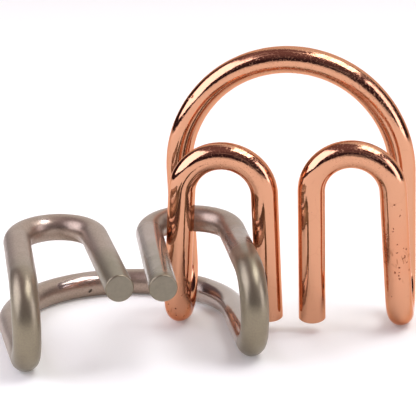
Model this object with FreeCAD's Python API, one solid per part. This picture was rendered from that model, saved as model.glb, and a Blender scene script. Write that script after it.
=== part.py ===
import FreeCAD, Part
import os
from types import SimpleNamespace
from FreeCAD import Rotation, Vector

# Metal disentanglement puzzle: two bent rods, one copper-plated and one nickel-plated, hooked
# through each other. Each rod is a round bow whose legs turn forward through a heel, rise as
# outer legs, fold over in a small hook arch and come down as inner legs with sawn-off ends.
#
# Frame: millimetres, +Z up from the ground the puzzle lies on, +X across the copper bow,
# -Y towards the copper hooks, origin at the bottom centre of the whole puzzle's box.
# Left and right are as seen from the hooks' side.

# ---- Rod stock ----
rod_diameter = 5.0
end_chamfer = 0.2              # burr taken off the sawn ends

# ---- Bow: a crown arc, tighter than the two shoulder arcs that carry it down to the legs ----
bow_radius = 21.1              # half the width of the bow between rod centres
crown_half_angle = 45.0        # degrees of each quarter turn that are crown
copper_shoulder_ratio = 1.06   # shoulder radius over bow radius
nickel_shoulder_ratio = 1.20
copper_overbend = 0.2          # degrees each back leg turns in past parallel
nickel_overbend = 2.4

# ---- Hooks: lengths and centre-line radii in mm, angles in degrees ----
# heel_open and arch_open are how far those bends stop short of a half turn;
# inward_lean is how far the outer leg leans towards the other hook.
copper_left = SimpleNamespace(
    back_leg=18.1, heel_radius=7.0, heel_open=0.8, inward_lean=5.5,
    outer_leg=19.8, arch_radius=7.6, arch_open=5.5, inner_leg=24.8)
copper_right = SimpleNamespace(
    back_leg=18.2, heel_radius=7.0, heel_open=0.8, inward_lean=2.4,
    outer_leg=20.0, arch_radius=7.4, arch_open=3.3, inner_leg=25.7)
nickel_left = SimpleNamespace(
    back_leg=18.6, heel_radius=7.3, heel_open=6.4, inward_lean=3.3,
    outer_leg=17.0, arch_radius=7.2, arch_open=4.2, inner_leg=25.5)
nickel_right = SimpleNamespace(
    back_leg=19.7, heel_radius=7.3, heel_open=6.9, inward_lean=1.7,
    outer_leg=16.6, arch_radius=7.7, arch_open=2.0, inner_leg=25.4)

# ---- How the two rods lie on the ground ----
copper_lean = 8.9              # degrees the standing copper rod tips towards its hooks
nickel_yaw = 17.4              # degrees the nickel rod, flat on its bow, is turned
hooked_x = 1.4                 # from the bottom of the copper left heel to the crown of the
hooked_y = -1.0                # nickel right arch that runs through its gap, seen from above

QUARTER_TURN = 90.0
HALF_TURN = 180.0
X, Y, Z = Vector(1, 0, 0), Vector(0, 1, 0), Vector(0, 0, 1)


class RodRun:
    """Lays rod piece by piece, each piece starting on the end face of the last one."""

    def __init__(self, heading, towards):
        self.point = Vector()
        self.heading = heading
        self.towards = towards      # square to the heading: where the next bend's centre lies
        rim = Part.Circle(self.point, heading, rod_diameter / 2)
        self.face = Part.Face(Part.Wire(rim.toShape()))
        self.pieces = []

    def straight(self, length):
        step = self.heading * length
        self.pieces.append(self.face.extrude(step))
        self.face = self.face.translated(step)
        self.point = self.point + step

    def bend(self, radius, angle):
        centre = self.point + self.towards * radius
        axis = self.heading.cross(self.towards)
        self.pieces.append(self.face.revolve(centre, axis, angle))
        self.face = self.face.rotated(centre, axis, angle)
        turn = Rotation(axis, angle)
        self.point = centre + turn.multVec(self.point - centre)
        self.heading = turn.multVec(self.heading)
        self.towards = turn.multVec(self.towards)

    def roll(self, angle):
        self.towards = Rotation(self.heading, angle).multVec(self.towards)

    def chamfer_end(self):
        last = self.pieces.pop()
        rim = [edge for edge in last.Edges if self.at_end(edge)]
        self.pieces.append(last.makeChamfer(end_chamfer, rim))

    def at_end(self, edge):
        return abs((edge.CenterOfMass - self.point).dot(self.heading)) < end_chamfer


def half_rod(side, hook, shoulder_ratio, overbend):
    """From the crown, at the origin, to one sawn end; side is -1 for left, 1 for right."""
    shoulder_radius = bow_radius * shoulder_ratio
    crown_share = Rotation(Y, crown_half_angle).multVec(Z).x
    crown_radius = (bow_radius - shoulder_radius * (1 - crown_share)) / crown_share
    heel_half = (HALF_TURN - hook.heel_open) / 2
    arch_half = (HALF_TURN - hook.arch_open) / 2

    run = RodRun(heading=X * side, towards=-Z)
    run.bend(crown_radius, crown_half_angle)
    run.bend(shoulder_radius, QUARTER_TURN - crown_half_angle + overbend)
    run.straight(hook.back_leg)
    run.roll(-side * QUARTER_TURN)
    run.bend(hook.heel_radius, heel_half)
    run.heel = run.point
    run.roll(side * hook.inward_lean)
    run.bend(hook.heel_radius, heel_half)
    run.straight(hook.outer_leg)
    run.roll(side * QUARTER_TURN)
    run.bend(hook.arch_radius, arch_half)
    run.arch = run.point
    run.bend(hook.arch_radius, arch_half)
    run.straight(hook.inner_leg)
    run.chamfer_end()
    return run


def fuse(left, right):
    pieces = left.pieces + right.pieces
    return pieces[0].multiFuse(pieces[1:]).removeSplitter().Solids[0]


def lay(rod, turn, shift):
    """Turn a rod about its crown, shift it over the ground and set it down on the ground."""
    laid = rod.copy()
    laid.Placement = FreeCAD.Placement(shift, turn)
    return laid.translated(-Z * laid.optimalBoundingBox(False).ZMin)


copper_half_rods = (half_rod(-1, copper_left, copper_shoulder_ratio, copper_overbend),
                    half_rod(1, copper_right, copper_shoulder_ratio, copper_overbend))
nickel_half_rods = (half_rod(-1, nickel_left, nickel_shoulder_ratio, nickel_overbend),
                    half_rod(1, nickel_right, nickel_shoulder_ratio, nickel_overbend))

copper_turn = Rotation(X, copper_lean)
nickel_turn = Rotation(Z, nickel_yaw) * Rotation(X, -QUARTER_TURN)
copper_heel = copper_turn.multVec(copper_half_rods[0].heel)
nickel_arch = nickel_turn.multVec(nickel_half_rods[1].arch)
nickel_shift = copper_heel + Vector(hooked_x, hooked_y, 0) - nickel_arch

copper = lay(fuse(*copper_half_rods), copper_turn, Vector())
nickel = lay(fuse(*nickel_half_rods), nickel_turn, nickel_shift)

box = Part.makeCompound([copper, nickel]).optimalBoundingBox(False)
to_origin = Vector(-box.Center.x, -box.Center.y, 0)

os.makedirs("parts", exist_ok=True)
for name, rod in (("copper_rod", copper), ("nickel_rod", nickel)):
    rod.translated(to_origin).exportStep(f"parts/{name}.step")
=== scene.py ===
import math
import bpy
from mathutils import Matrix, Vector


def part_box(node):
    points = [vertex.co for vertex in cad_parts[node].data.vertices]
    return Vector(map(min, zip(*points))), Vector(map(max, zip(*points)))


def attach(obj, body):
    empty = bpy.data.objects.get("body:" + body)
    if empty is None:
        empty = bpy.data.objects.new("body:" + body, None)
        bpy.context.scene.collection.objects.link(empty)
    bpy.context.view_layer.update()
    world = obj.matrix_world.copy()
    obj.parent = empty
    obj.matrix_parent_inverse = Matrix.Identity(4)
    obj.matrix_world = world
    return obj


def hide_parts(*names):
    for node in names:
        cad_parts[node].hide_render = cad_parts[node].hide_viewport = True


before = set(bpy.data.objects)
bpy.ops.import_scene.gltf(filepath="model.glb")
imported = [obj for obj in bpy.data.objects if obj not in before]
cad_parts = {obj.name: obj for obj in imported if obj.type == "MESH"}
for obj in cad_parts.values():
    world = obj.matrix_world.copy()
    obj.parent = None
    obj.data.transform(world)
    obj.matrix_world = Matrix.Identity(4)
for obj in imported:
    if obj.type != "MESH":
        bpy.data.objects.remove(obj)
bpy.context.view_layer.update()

from types import SimpleNamespace

import bpy
import numpy as np
from mathutils import Matrix, Quaternion, Vector

MM = 0.001
QUARTER = math.pi / 2
X, Z = Vector((1, 0, 0)), Vector((0, 0, 1))

# ---------------------------------------------------------------- rod sizes, as in the CAD (mm, degrees)
ROD_RADIUS = 2.5
CHAMFER = 0.2
BOW_RADIUS = 21.1
CROWN_HALF = 45.0
COPPER = SimpleNamespace(
    shoulder_ratio=1.06, overbend=0.2,
    left=SimpleNamespace(back_leg=18.1, heel_radius=7.0, heel_open=0.8, inward_lean=5.5,
                         outer_leg=19.8, arch_radius=7.6, arch_open=5.5, inner_leg=24.8),
    right=SimpleNamespace(back_leg=18.2, heel_radius=7.0, heel_open=0.8, inward_lean=2.4,
                          outer_leg=20.0, arch_radius=7.4, arch_open=3.3, inner_leg=25.7))
NICKEL = SimpleNamespace(
    shoulder_ratio=1.20, overbend=2.4,
    left=SimpleNamespace(back_leg=18.6, heel_radius=7.3, heel_open=6.4, inward_lean=3.3,
                         outer_leg=17.0, arch_radius=7.2, arch_open=4.2, inner_leg=25.5),
    right=SimpleNamespace(back_leg=19.7, heel_radius=7.3, heel_open=6.9, inward_lean=1.7,
                          outer_leg=16.6, arch_radius=7.7, arch_open=2.0, inner_leg=25.4))
COPPER_LEAN = math.radians(8.9)
NICKEL_YAW = math.radians(17.4)
COPPER_TURN = Matrix.Rotation(COPPER_LEAN, 3, 'X')
NICKEL_TURN = Matrix.Rotation(NICKEL_YAW, 3, 'Z') @ Matrix.Rotation(-QUARTER, 3, 'X')

# ---------------------------------------------------------------- mesh
STEP = 0.33                             # mm between the rings along the rod
AROUND = 64                             # points in a ring
WAVE_HEIGHT, WAVE_LENGTHS = 0.004, (3.0, 7.0)           # mm, the long ripple left by bending
RIPPLE_HEIGHT, RIPPLE_LENGTHS = 0.0016, (1.2, 2.4)      # mm, a short ripple on top of it
WAVES = 14                              # plane waves that make up each ripple
FACE_RINGS = (0.8, 0.55, 0.3, 0.1)      # rings of a sawn face, as shares of its rim
LAYERS = ("nicked", "pitted", "rubbed")     # kinds of wear that the materials read from the mesh


# ---------------------------------------------------------------- centre line
class Run:
    """Follows the rod's centre line, leaving a ring station every STEP."""

    def __init__(self, heading, towards):
        self.point = Vector((0, 0, 0))
        self.heading = heading
        self.towards = towards          # the side that the next bend goes to
        self.side = Vector(Z)           # carried along without twist
        self.far = 0.0                  # distance gone along the rod
        self.marks = {}
        self.stations = []
        self.leave()

    def leave(self):
        self.stations.append(SimpleNamespace(point=self.point.copy(), heading=self.heading.copy(),
                                             side=self.side.copy(), far=self.far))

    def mark(self, name, ahead=0.0):
        """Names a place on the centre line, with the direction out of the bend there."""
        self.marks[name] = SimpleNamespace(run=self, far=self.far + ahead, out=-self.towards,
                                           beside=self.towards.cross(self.heading))

    def straight(self, length):
        n = max(1, round(length / STEP))
        for _ in range(n):
            self.point = self.point + self.heading * (length / n)
            self.far += length / n
            self.leave()

    def bend(self, radius, angle):
        n = max(1, round(radius * angle / STEP))
        axis = self.heading.cross(self.towards)
        turn = Quaternion(axis, angle / n)
        for _ in range(n):
            centre = self.point + self.towards * radius
            self.point = centre + turn @ (self.point - centre)
            self.heading = turn @ self.heading
            self.towards = turn @ self.towards
            self.side = turn @ self.side
            self.far += radius * angle / n
            self.leave()

    def roll(self, angle):
        self.towards = Quaternion(self.heading, angle) @ self.towards


def half_rod(side, hook, rod):
    """One half, from the crown of the bow to the sawn end. Side is -1 for the left, 1 for the right."""
    share = math.sin(math.radians(CROWN_HALF))
    shoulder = BOW_RADIUS * rod.shoulder_ratio
    crown = (BOW_RADIUS - shoulder * (1 - share)) / share
    heel_half = math.radians(180 - hook.heel_open) / 2
    arch_half = math.radians(180 - hook.arch_open) / 2
    run = Run(X * side, -Z)
    run.mark("crown")
    run.bend(crown, math.radians(CROWN_HALF))
    run.mark("shoulder")
    run.bend(shoulder, math.radians(90 - CROWN_HALF + rod.overbend))
    run.mark("back_leg", hook.back_leg / 2)
    run.straight(hook.back_leg)
    run.roll(-side * QUARTER)
    run.bend(hook.heel_radius, heel_half)
    run.mark("heel")
    run.roll(side * math.radians(hook.inward_lean))
    run.bend(hook.heel_radius, heel_half)
    run.mark("outer_leg", hook.outer_leg / 2)
    run.straight(hook.outer_leg)
    run.roll(side * QUARTER)
    run.bend(hook.arch_radius, arch_half)
    run.mark("arch")
    run.bend(hook.arch_radius, arch_half)
    run.straight(hook.inner_leg)
    run.mark("end")
    return run


def whole_rod(rod):
    """Points, headings and sides from the left sawn end to the right one, and each half's marks."""
    left, right = half_rod(-1, rod.left, rod), half_rod(1, rod.right, rod)
    rows = [(r.point, -r.heading, r.side) for r in reversed(left.stations)]
    rows += [(r.point, r.heading, r.side) for r in right.stations[1:]]
    points, heads, sides = (np.array(column) for column in zip(*rows))
    return points, heads, sides, left.marks, right.marks


# ---------------------------------------------------------------- places for wear
def station_at(mark, along=0.0):
    """The station at a distance along the rod from a mark, positive towards the sawn end."""
    return min(mark.run.stations, key=lambda station: abs(station.far - mark.far - along))


def core(mark, along=0.0):
    """A place on the centre line, so that a spot there reaches all round the rod."""
    return station_at(mark, along).point


def skin(mark, along=0.0, out=1.0, aside=0.0):
    """A place on the rod's skin: a distance along the rod from a mark, and a direction round the rod."""
    station = station_at(mark, along)
    lean = mark.out * out + mark.beside * aside
    lean -= station.heading * lean.dot(station.heading)
    return station.point + lean.normalized() * ROD_RADIUS


def spot(points, place, size):
    """1 at the place, falling off smoothly over the size."""
    return np.exp(-((points - np.array(place)) ** 2).sum(1) / size ** 2)


def nearness(points, spots):
    """Sum of soft round spots, (place, size) in mm, limited to 1."""
    total = np.zeros(len(points))
    for place, size in spots:
        total += spot(points, place, size)
    return np.minimum(total, 1)


def ripple(points, seed, wave_lo, wave_hi):
    """Smooth random height, about -1 to 1, from plane waves of the given lengths (mm)."""
    rng = np.random.default_rng(seed)
    total = np.zeros(len(points))
    for _ in range(WAVES):
        direction = rng.normal(size=3)
        direction /= np.linalg.norm(direction)
        k = 2 * math.pi / rng.uniform(wave_lo, wave_hi)
        total += np.sin(points @ direction * k + rng.uniform(0, 2 * math.pi))
    return total / math.sqrt(WAVES)


def copper_wear(left, right):
    """Dents are (place, size, depth), the rest (place, size), in mm."""
    heel, heel_top, shoulder = left["heel"], left["outer_leg"], left["shoulder"]
    leg, far_shoulder, back_leg = right["outer_leg"], right["shoulder"], right["back_leg"]
    pits = [skin(leg, along, 1.0, aside) for along, aside in
            ((0.4, 0.15), (-1.2, 0.1), (-2.4, 0.6), (-0.6, 0.75), (-3.4, 1.2), (-4.1, 0.2),
             (-5.0, 0.2), (-5.9, 0.15), (-6.5, 0.2), (3.0, -0.1), (6.0, 0.5), (8.5, 0.1))]
    pits += [skin(heel_top, along, 1.0, aside) for along, aside in
             ((-10.3, 0.5), (-10.0, 0.8), (-12.6, 0.0), (-12.1, 1.6), (-14.2, 0.0), (-14.8, 0.5),
              (-6.6, 0.7), (-16.5, -0.5), (-17.6, 0.4), (-3.0, -0.4), (-4.0, -0.5))]
    pits += [skin(shoulder, along, out, aside) for along, out, aside in
             ((2.2, 0.77, -0.63), (2.7, 0.70, -0.60), (3.2, 0.9, -0.5), (6.4, 0.6, -0.8))]
    pits += [skin(far_shoulder, 9.0, 0.8, 0.7), skin(back_leg, 3.0, 0.4, 1.0),
             skin(back_leg, -2.0, 0.2, 1.0)]
    return SimpleNamespace(
        dents=[(skin(heel, 3.0, 1.0, 0.2), 1.1, 0.05),
               (skin(heel_top, -12.0, 1.0, 0.5), 0.9, 0.04),
               (skin(leg, -6.0, 1.0, 0.2), 0.8, 0.05),
               (skin(leg, -1.0, 1.0, 0.5), 1.0, 0.03),
               (skin(shoulder, 2.4, 0.77, -0.63), 0.6, 0.05),
               (skin(far_shoulder, -0.4, 0.66, 0.75), 0.7, 0.05)],
        pitted=[(place, 0.19 + 0.05 * (k % 3)) for k, place in enumerate(pits)],
        nicked=[(core(heel, 4.0), 7.0), (core(leg, -2.0), 7.0), (core(left["end"]), 1.6),
                (core(right["end"]), 1.6), (core(right["heel"]), 3.5)],
        rubbed=[(core(left["crown"]), 15.0), (core(far_shoulder, 3.0), 7.0),
                (core(left["arch"]), 5.0), (core(left["arch"], 6.0), 4.5),
                (core(right["arch"]), 5.0), (core(right["arch"], -6.0), 4.5)])


def nickel_wear(left, right):
    """As for copper; the rod is rubbed bright on its bow and where it has slid against the copper rod."""
    pit = skin(left["crown"], 5.0, -0.93, 0.37)
    rubbed = [(skin(left["arch"], -1.9, -0.55, 0.83), 1.25)]
    rubbed += [(core(right["back_leg"], along), 3.5) for along in range(-21, 12, 3)]
    rubbed += [(core(right["outer_leg"], along), 2.3) for along in range(-4, 6, 2)]
    rubbed += [(core(right["end"], along), 2.3) for along in range(-26, 0, 2)]
    for share in np.linspace(0, 1, 10):
        place = skin(left["crown"], 3 + 9.5 * share, -0.66 - 0.20 * share, -0.75 + 0.25 * share)
        rubbed.append((place, 1.2 - 0.5 * share))
    return SimpleNamespace(
        dents=[(pit, 0.5, 0.12),
               (skin(left["arch"], -0.8, -0.6, 0.8), 0.9, 0.03),
               (skin(left["shoulder"], -3.0, -0.8, -0.6), 1.0, 0.03)],
        pitted=[(pit, 0.42), (skin(left["crown"], 4.6, -0.98, 0.2), 0.25)],
        nicked=[(core(left["end"]), 1.2), (core(right["end"]), 1.2)],
        rubbed=rubbed)


# ---------------------------------------------------------------- rod mesh
def tube_rings(points, heads, sides):
    """Ring centres, the direction of each point of each ring, and radii, with a chamfer at both ends."""
    across = np.cross(heads, sides)
    phi = np.arange(AROUND) * 2 * math.pi / AROUND
    ring = sides[:, None] * np.cos(phi)[None, :, None] + across[:, None] * np.sin(phi)[None, :, None]
    first, last = points[0] + heads[0] * CHAMFER, points[-1] - heads[-1] * CHAMFER
    radius = np.r_[ROD_RADIUS - CHAMFER, np.full(len(points), ROD_RADIUS), ROD_RADIUS - CHAMFER]
    centres = np.vstack([points[0], first, points[1:-1], last, points[-1]])
    ring = np.concatenate([ring[:1], ring[:1], ring[1:-1], ring[-1:], ring[-1:]])
    return centres, ring, radius


def drawn_coordinates(centres):
    """Distance along the rod and place round it, in mm, so that marks can follow the way it was drawn."""
    phi = np.arange(AROUND) * 2 * math.pi / AROUND
    run_length = np.r_[0, np.cumsum(np.linalg.norm(np.diff(centres, axis=0), axis=1))]
    return np.stack([np.repeat(run_length, AROUND),
                     np.tile(np.cos(phi), len(centres)) * ROD_RADIUS,
                     np.tile(np.sin(phi), len(centres)) * ROD_RADIUS], 1)


def sawn_end(rim, outer, count, flip):
    """Vertices and faces of a flat end: rings from the rim to the middle. New vertices start at count."""
    mid = rim.mean(0)
    verts, faces = [], []
    for share in FACE_RINGS:
        verts.append(mid + (rim - mid) * share)
        inner = np.arange(count, count + AROUND)
        count += AROUND
        quad = np.stack([outer, np.roll(outer, -1), np.roll(inner, -1), inner], -1)
        faces += (quad[:, ::-1] if flip else quad).tolist()
        outer = inner
    verts.append(mid[None])
    for a, b in zip(outer, np.roll(outer, -1)):
        faces.append([b, a, count] if flip else [a, b, count])
    return verts, faces


def swept_rod(name, rod, turn, node, seed, wear):
    points, heads, sides, left_marks, right_marks = whole_rod(rod)
    centres, ring, radius = tube_rings(points, heads, sides)
    tube = (centres[:, None] + ring * radius[:, None, None]).reshape(-1, 3)

    worn = wear(left_marks, right_marks)
    layers = {kind: nearness(tube, getattr(worn, kind)) for kind in LAYERS}
    height = WAVE_HEIGHT * ripple(tube, seed, *WAVE_LENGTHS)
    height += RIPPLE_HEIGHT * ripple(tube, seed + 1, *RIPPLE_LENGTHS)
    for place, size, depth in worn.dents:
        height -= depth * spot(tube, place, size)
    tube += ring.reshape(-1, 3) * height[:, None]

    index = np.arange(len(tube)).reshape(-1, AROUND)
    a, b = index[:-1], index[1:]
    faces = np.stack([a, np.roll(a, -1, 1), np.roll(b, -1, 1), b], -1).reshape(-1, 4).tolist()
    tube_faces = len(faces)
    verts = [tube]
    for row, flip in ((index[0], True), (index[-1], False)):
        end_verts, end_faces = sawn_end(tube[row], row, sum(map(len, verts)), flip)
        verts += end_verts
        faces += end_faces
    verts = np.vstack(verts) @ np.array(turn).T * MM
    verts += np.array(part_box(node)[0]) - verts.min(0)

    sawn = np.arange(len(faces)) >= tube_faces
    mesh = bpy.data.meshes.new(name)
    mesh.from_pydata(verts.tolist(), [], faces)
    mesh.polygons.foreach_set("use_smooth", ~sawn)
    mesh.polygons.foreach_set("material_index", sawn.astype(int))
    unworn = np.zeros(len(verts) - len(tube))
    for kind, values in layers.items():
        layer = mesh.attributes.new(kind, 'FLOAT', 'POINT')
        layer.data.foreach_set("value", np.r_[values, unworn])
    drawn = np.vstack([drawn_coordinates(centres), np.zeros((len(unworn), 3))])
    layer = mesh.attributes.new("drawn", 'FLOAT_VECTOR', 'POINT')
    layer.data.foreach_set("vector", (drawn * MM).ravel())
    piece = bpy.data.objects.new(name, mesh)
    bpy.context.collection.objects.link(piece)
    return piece


# ---------------------------------------------------------------- node helpers
class Nodes:
    """Adds nodes to a material or to the world. Texture scales are per metre."""

    def __init__(self, owner):
        owner.use_nodes = True
        self.owner = owner
        self.tree = owner.node_tree
        self.bsdf = self.tree.nodes.get("Principled BSDF")
        self.place = self.coordinate("Object")

    def add(self, kind, **settings):
        node = self.tree.nodes.new(kind)
        for key, value in settings.items():
            setattr(node, key, value)
        return node

    def link(self, out, into):
        self.tree.links.new(out, into)

    def feed(self, value, socket):
        """Links a socket to another node's output, or sets it to a number or a colour."""
        if isinstance(value, tuple):
            socket.default_value = (*value, 1)
        elif isinstance(value, (int, float)):
            socket.default_value = value
        else:
            self.link(value, socket)

    def coordinate(self, kind):
        return self.add("ShaderNodeTexCoord").outputs[kind]

    def split(self, vector):
        node = self.add("ShaderNodeSeparateXYZ")
        self.link(vector, node.inputs[0])
        return node.outputs

    def painted(self, name, kind="Fac"):
        return self.add("ShaderNodeAttribute", attribute_name=name).outputs[kind]

    def noise(self, scale, detail=4.0, at=None):
        node = self.add("ShaderNodeTexNoise")
        self.link(at or self.place, node.inputs["Vector"])
        node.inputs["Scale"].default_value = scale
        node.inputs["Detail"].default_value = detail
        node.inputs["Roughness"].default_value = 0.55
        return node.outputs["Fac"]

    def stretched(self, at, scale):
        node = self.add("ShaderNodeVectorMath", operation='MULTIPLY')
        self.link(at, node.inputs[0])
        node.inputs[1].default_value = scale
        return node.outputs[0]

    def streaks(self, at, scale, detail=2.0):
        """Noise with its own scale along each axis."""
        return self.noise(1.0, detail, at=self.stretched(at, scale))

    def cells(self, scale, at, feature='F1'):
        node = self.add("ShaderNodeTexVoronoi", feature=feature)
        self.link(at, node.inputs["Vector"])
        node.inputs["Scale"].default_value = scale
        return node.outputs["Distance"]

    def ramp(self, fac, *stops):
        node = self.add("ShaderNodeValToRGB")
        self.link(fac, node.inputs["Fac"])
        for element, (pos, colour) in zip(node.color_ramp.elements, stops):
            element.position = pos
            element.color = (*colour, 1) if isinstance(colour, tuple) else (colour, colour, colour, 1)
        return node.outputs["Color"]

    def math(self, kind, a, b):
        node = self.add("ShaderNodeMath", operation=kind)
        self.feed(a, node.inputs[0])
        self.feed(b, node.inputs[1])
        return node.outputs[0]

    def plus(self, a, b):
        return self.math('ADD', a, b)

    def less(self, a, b):
        return self.math('SUBTRACT', a, b)

    def times(self, a, b):
        return self.math('MULTIPLY', a, b)

    def larger(self, a, b):
        return self.math('MAXIMUM', a, b)

    def mix(self, fac, a, b):
        node = self.add("ShaderNodeMix", data_type='RGBA')
        for value, socket in ((fac, 0), (a, 6), (b, 7)):
            self.feed(value, node.inputs[socket])
        return node.outputs[2]

    def bump(self, height, strength, distance, normal=None):
        node = self.add("ShaderNodeBump")
        self.link(height, node.inputs["Height"])
        self.feed(strength, node.inputs["Strength"])
        node.inputs["Distance"].default_value = distance
        if normal is not None:
            self.link(normal, node.inputs["Normal"])
        return node.outputs["Normal"]


def nicks(n, drawn, nicked, scale, least, most):
    """1 inside small scattered nicks, a little longer along the rod; larger where nicked."""
    cell = n.cells(scale, n.stretched(drawn, (0.6, 1, 1)))
    reach = n.plus(n.times(nicked, most - least), least)
    return n.ramp(n.times(n.less(reach, cell), 1 / least), (0.0, 0.0), (0.5, 1.0))


def pits_of(n):
    """1 inside the larger pits, with a ragged edge."""
    ragged = n.times(n.less(n.noise(5000, 2.0), 0.5), 0.7)
    return n.ramp(n.plus(n.painted("pitted"), ragged), (0.50, 0.0), (0.68, 1.0))


def hairlines(n, scale, width, warp_scale):
    """1 on thin broken scratches that cross each other."""
    warp = n.add("ShaderNodeTexNoise")
    n.link(n.place, warp.inputs["Vector"])
    warp.inputs["Scale"].default_value = warp_scale
    shift = n.add("ShaderNodeVectorMath", operation='SCALE')
    n.link(warp.outputs["Color"], shift.inputs[0])
    shift.inputs["Scale"].default_value = 0.01
    bent = n.add("ShaderNodeMix", data_type='VECTOR')
    bent.inputs[0].default_value = 0.12
    n.link(n.place, bent.inputs[4])
    n.link(shift.outputs[0], bent.inputs[5])
    line = n.cells(scale, bent.outputs[1], 'DISTANCE_TO_EDGE')
    thin = n.ramp(line, (0.0, 1.0), (width, 0.0))
    broken = n.ramp(n.noise(scale * 1.3, 2.0), (0.50, 0.0), (0.60, 1.0))
    return n.times(thin, broken)


# ---------------------------------------------------------------- materials, colours in linear RGB
COPPER_LIGHT, COPPER_DARK = (0.640, 0.322, 0.195), (0.610, 0.300, 0.178)
COPPER_KNOCKED = (0.66, 0.27, 0.15)
COPPER_SCRATCH = (0.40, 0.16, 0.08)
COPPER_PIT = (0.24, 0.08, 0.035)
COPPER_EDGE = (0.92, 0.60, 0.47)        # tint at grazing angles
NICKEL_FRONT, NICKEL_BACK = (0.275, 0.234, 0.160), (0.410, 0.310, 0.246)
NICKEL_SPECKLE = (0.22, 0.18, 0.135)
NICKEL_SCRATCH = (0.55, 0.50, 0.46)
NICKEL_POLISHED = (0.50, 0.43, 0.40)
NICKEL_PIT = (0.10, 0.075, 0.055)
SAWN_COPPER = (0.62, 0.30, 0.21), (0.5, 0.23, 0.15)
SAWN_NICKEL = (0.285, 0.250, 0.190), (0.230, 0.205, 0.155)
FLOOR_PALE = (0.92, 0.92, 0.885), (0.90, 0.90, 0.865)
FLOOR_GLOW = 0.13


def copper_plate():
    n = Nodes(bpy.data.materials.new("bright_copper_plate"))
    drawn, nicked, rubbed = n.painted("drawn", "Vector"), n.painted("nicked"), n.painted("rubbed")

    # colour: slightly uneven plate, redder where knocked about, with dark scratches and pits
    tone = n.mix(n.noise(90), COPPER_LIGHT, COPPER_DARK)
    tone = n.mix(n.times(n.noise(300, 3.0), nicked), tone, COPPER_KNOCKED)
    pits = n.larger(nicks(n, drawn, nicked, 880, 0.035, 0.20), pits_of(n))
    lines = n.times(hairlines(n, 260, 0.035, 150), n.plus(nicked, 0.15))
    scratches = n.ramp(n.streaks(drawn, (450, 1900, 1900)), (0.585, 0.0), (0.63, 1.0))
    patches = n.ramp(n.times(n.noise(330, 2.0), nicked), (0.38, 0.0), (0.50, 1.0))
    lines = n.larger(lines, n.times(scratches, patches))
    tone = n.mix(n.times(lines, 0.75), tone, COPPER_SCRATCH)
    tone = n.mix(n.times(pits, 0.75), tone, COPPER_PIT)
    n.link(tone, n.bsdf.inputs["Base Color"])
    n.bsdf.inputs["Metallic"].default_value = 1.0
    n.bsdf.inputs["Specular Tint"].default_value = (*COPPER_EDGE, 1)

    # roughness: smudges, grain where rubbed, dull pits
    smudge = n.ramp(n.noise(220), (0.40, 0.045), (0.75, 0.09))
    specks = n.ramp(n.noise(2600, 3.0), (0.50, 0.0), (0.66, 1.0))
    streaks = n.ramp(n.streaks(drawn, (130, 3600, 3600), 3.0), (0.50, 0.0), (0.68, 1.0))
    grain = n.times(n.larger(specks, streaks), rubbed)
    rough = n.plus(n.plus(smudge, n.times(grain, 0.34)), n.times(nicked, 0.07))
    n.link(n.larger(rough, n.times(pits, 0.5)), n.bsdf.inputs["Roughness"])

    # relief: orange peel, fine grain, draw lines, pits and scratches
    relief = n.bump(n.noise(900, 3.0), n.plus(n.times(rubbed, 0.25), 0.30), 0.04 * MM)
    relief = n.bump(n.noise(3400, 3.0), n.plus(n.times(rubbed, 0.55), 0.10), 0.02 * MM, relief)
    relief = n.bump(n.streaks(drawn, (60, 5200, 5200)), 0.10, 0.01 * MM, relief)
    worn = n.times(n.plus(pits, n.times(lines, 0.2)), -1)
    n.link(n.bump(worn, 0.8, 0.08 * MM, relief), n.bsdf.inputs["Normal"])
    return n.owner


def nickel_plate():
    n = Nodes(bpy.data.materials.new("satin_nickel_plate"))
    drawn, nicked, rubbed = n.painted("drawn", "Vector"), n.painted("nicked"), n.painted("rubbed")

    # colour: greener on the heels in front, pinker behind, speckled, paler where rubbed
    box = n.split(n.coordinate("Generated"))
    depth = n.less(box["Y"], n.times(box["X"], 0.28))       # back from the heels, as this rod is turned
    depth = n.plus(depth, n.times(n.noise(60, 2.0), 0.35))
    tone = n.mix(n.ramp(depth, (0.20, 0.0), (0.40, 1.0)), NICKEL_FRONT, NICKEL_BACK)
    speckle = n.ramp(n.noise(2900, 2.0), (0.36, 0.0), (0.66, 1.0))
    tone = n.mix(n.times(speckle, 0.42), tone, NICKEL_SPECKLE)
    pits = n.larger(nicks(n, drawn, nicked, 430, 0.03, 0.15), pits_of(n))
    lines = n.times(hairlines(n, 230, 0.010, 140), n.plus(rubbed, 0.1))
    tone = n.mix(n.times(lines, 0.35), tone, NICKEL_SCRATCH)
    polish = n.ramp(n.times(n.plus(n.noise(380), 0.35), rubbed), (0.25, 0.0), (0.70, 1.0))
    tone = n.mix(n.times(polish, 0.45), tone, NICKEL_POLISHED)
    tone = n.mix(pits, tone, NICKEL_PIT)
    n.link(tone, n.bsdf.inputs["Base Color"])
    n.bsdf.inputs["Metallic"].default_value = 0.78

    # roughness: uneven satin, smooth where rubbed, dull pits
    satin = n.ramp(n.noise(420, 3.0), (0.35, 0.33), (0.65, 0.40))
    smooth = n.mix(polish, satin, (0.14, 0.14, 0.14))
    n.link(n.larger(smooth, n.times(pits, 0.6)), n.bsdf.inputs["Roughness"])

    # relief: blasted grain, draw lines, pits
    relief = n.bump(n.noise(3000, 3.0), 0.34, 0.012 * MM)
    relief = n.bump(n.streaks(drawn, (80, 4200, 4200)), 0.10, 0.01 * MM, relief)
    n.link(n.bump(n.times(pits, -1), 0.8, 0.08 * MM, relief), n.bsdf.inputs["Normal"])
    return n.owner


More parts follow.
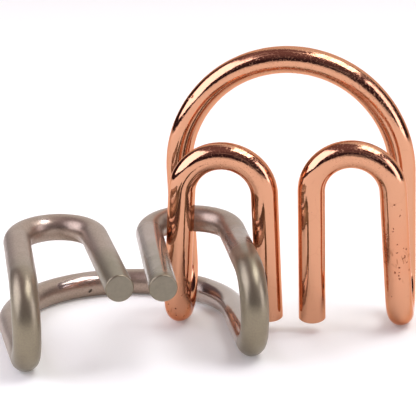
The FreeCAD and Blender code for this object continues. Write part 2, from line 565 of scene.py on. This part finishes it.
def sawn_face(name, light, dark):
    n = Nodes(bpy.data.materials.new(name))
    n.link(n.mix(n.noise(900), light, dark), n.bsdf.inputs["Base Color"])
    n.link(n.ramp(n.noise(1500), (0.3, 0.46), (0.7, 0.62)), n.bsdf.inputs["Roughness"])
    n.bsdf.inputs["Metallic"].default_value = 0.85
    relief = n.bump(n.noise(4000, 3.0), 0.4, 0.03 * MM)
    strokes = n.streaks(n.place, (700, 700, 6500))
    n.link(n.bump(strokes, 0.4, 0.03 * MM, relief), n.bsdf.inputs["Normal"])
    return n.owner


def pale_floor():
    n = Nodes(bpy.data.materials.new("pale_floor"))
    n.link(n.mix(n.noise(2.0), *FLOOR_PALE), n.bsdf.inputs["Base Color"])
    n.bsdf.inputs["Roughness"].default_value = 0.9
    n.bsdf.inputs["Specular IOR Level"].default_value = 0.1
    n.bsdf.inputs["Emission Color"].default_value = (1, 1, 1, 1)
    n.bsdf.inputs["Emission Strength"].default_value = FLOOR_GLOW
    return n.owner


# ---------------------------------------------------------------- pieces
COPPER_SEED, NICKEL_SEED = 11, 23
copper = swept_rod("copper_rod_plated", COPPER, COPPER_TURN, "copper_rod", COPPER_SEED, copper_wear)
nickel = swept_rod("nickel_rod_plated", NICKEL, NICKEL_TURN, "nickel_rod", NICKEL_SEED, nickel_wear)
copper.data.materials.append(copper_plate())
copper.data.materials.append(sawn_face("sawn_copper_face", *SAWN_COPPER))
nickel.data.materials.append(nickel_plate())
nickel.data.materials.append(sawn_face("sawn_nickel_face", *SAWN_NICKEL))
for piece, node, slot in ((copper, "copper_rod", "copper_plate"), (nickel, "nickel_rod", "nickel_plate")):
    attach(piece, node)
    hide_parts(node)

FLOOR_WIDTH = 6.0
bpy.ops.mesh.primitive_plane_add(size=FLOOR_WIDTH, location=(0, 0, 0))
floor = bpy.context.object
floor.name = "floor"
floor.data.materials.append(pale_floor())

# ---------------------------------------------------------------- light
AIM = Vector((0, 0, 0.02))              # the middle of the object
LAMP_DISTANCE = 0.9


def soft_box(name, azimuth, elevation, size, radiance, colour=(1, 1, 1), shift=(0, 0),
             distance=LAMP_DISTANCE):
    """Azimuth is in degrees from the camera's side, -Y, towards the right of the picture, +X. The lamp
    faces the object, and the shift then moves it sideways and upwards in its own plane."""
    az, el = math.radians(azimuth), math.radians(elevation)
    away = Vector((math.sin(az) * math.cos(el), -math.cos(az) * math.cos(el), math.sin(el)))
    across = Vector((math.cos(az), math.sin(az), 0))
    width, height = size
    lamp = bpy.data.lights.new(name, 'AREA')
    lamp.shape = 'RECTANGLE'
    lamp.size = width
    lamp.size_y = height
    lamp.energy = radiance * math.pi * width * height
    lamp.color = colour
    box = bpy.data.objects.new(name, lamp)
    box.location = AIM + away * distance + across * shift[0] + across.cross(-away) * shift[1]
    box.rotation_euler = (-away).to_track_quat('-Z', 'Y').to_euler()
    bpy.context.collection.objects.link(box)
    return box


soft_box("left_softbox", -73, 31, (0.92, 0.80), 3.3, (0.86, 0.86, 1.0))
soft_box("right_strip", 80, 17, (0.40, 0.60), 3.5, (0.90, 0.87, 1.0))
for column in (-1, 0, 1):
    for row in (-1, 0, 1):
        soft_box(f"window_{column + 1}_{row + 1}", 84, 62, (0.19, 0.13), 6.2, (0.94, 0.96, 1.0),
                 shift=(0.21 * column, 0.16 * row))
soft_box("front_gleam", 24, 22, (0.30, 0.03), 0.8, (0.8, 0.85, 1.0))
overhead = soft_box("overhead_fill", 180, 66, (2.2, 2.0), 0.31, distance=1.2)
overhead.visible_glossy = False         # lights the floor without showing in the polished rods

# the room: dark in front and at the sides, less dark overhead, and a pale sweep behind the object
world = bpy.data.worlds.new("studio")
bpy.context.scene.world = world
ROOM_LOW, ROOM_HIGH = (0.040, 0.023, 0.034), (0.23, 0.142, 0.165)
SWEEP = (0.95, 0.93, 0.92)
w = Nodes(world)
towards = w.split(w.coordinate("Generated"))
aside = w.math('ABSOLUTE', w.less(towards["X"], 0.15), 0)
rear = w.less(towards["Y"], w.times(aside, 0.9))
unlit = w.ramp(towards["Z"], (0.30, ROOM_LOW), (0.85, ROOM_HIGH))
studio = w.mix(w.ramp(rear, (0.02, 0.0), (0.20, 1.0)), unlit, SWEEP)
w.link(studio, w.tree.nodes["Background"].inputs["Color"])

# ---------------------------------------------------------------- camera, at the photo's viewing angle
EYE = Vector((0.04813, -0.32393, 0.10473))
VIEW_AZIMUTH = math.radians(8.1363)     # from the object's front towards its right in the picture
VIEW_ELEVATION = math.radians(13.7544)  # looking down
VIEW_ROLL = math.radians(-1.5038)
SENSOR, LENS = 36.0, 159.35             # mm

camera = bpy.data.objects.new("camera", bpy.data.cameras.new("camera"))
camera.data.sensor_width = SENSOR
camera.data.lens = LENS
camera.data.clip_start = 0.01
facing = Matrix.Rotation(VIEW_AZIMUTH, 4, 'Z') @ Matrix.Rotation(QUARTER - VIEW_ELEVATION, 4, 'X')
camera.matrix_world = Matrix.Translation(EYE) @ facing @ Matrix.Rotation(VIEW_ROLL, 4, 'Z')
bpy.context.collection.objects.link(camera)
bpy.context.scene.camera = camera
bpy.context.scene.view_settings.view_transform = 'Standard'
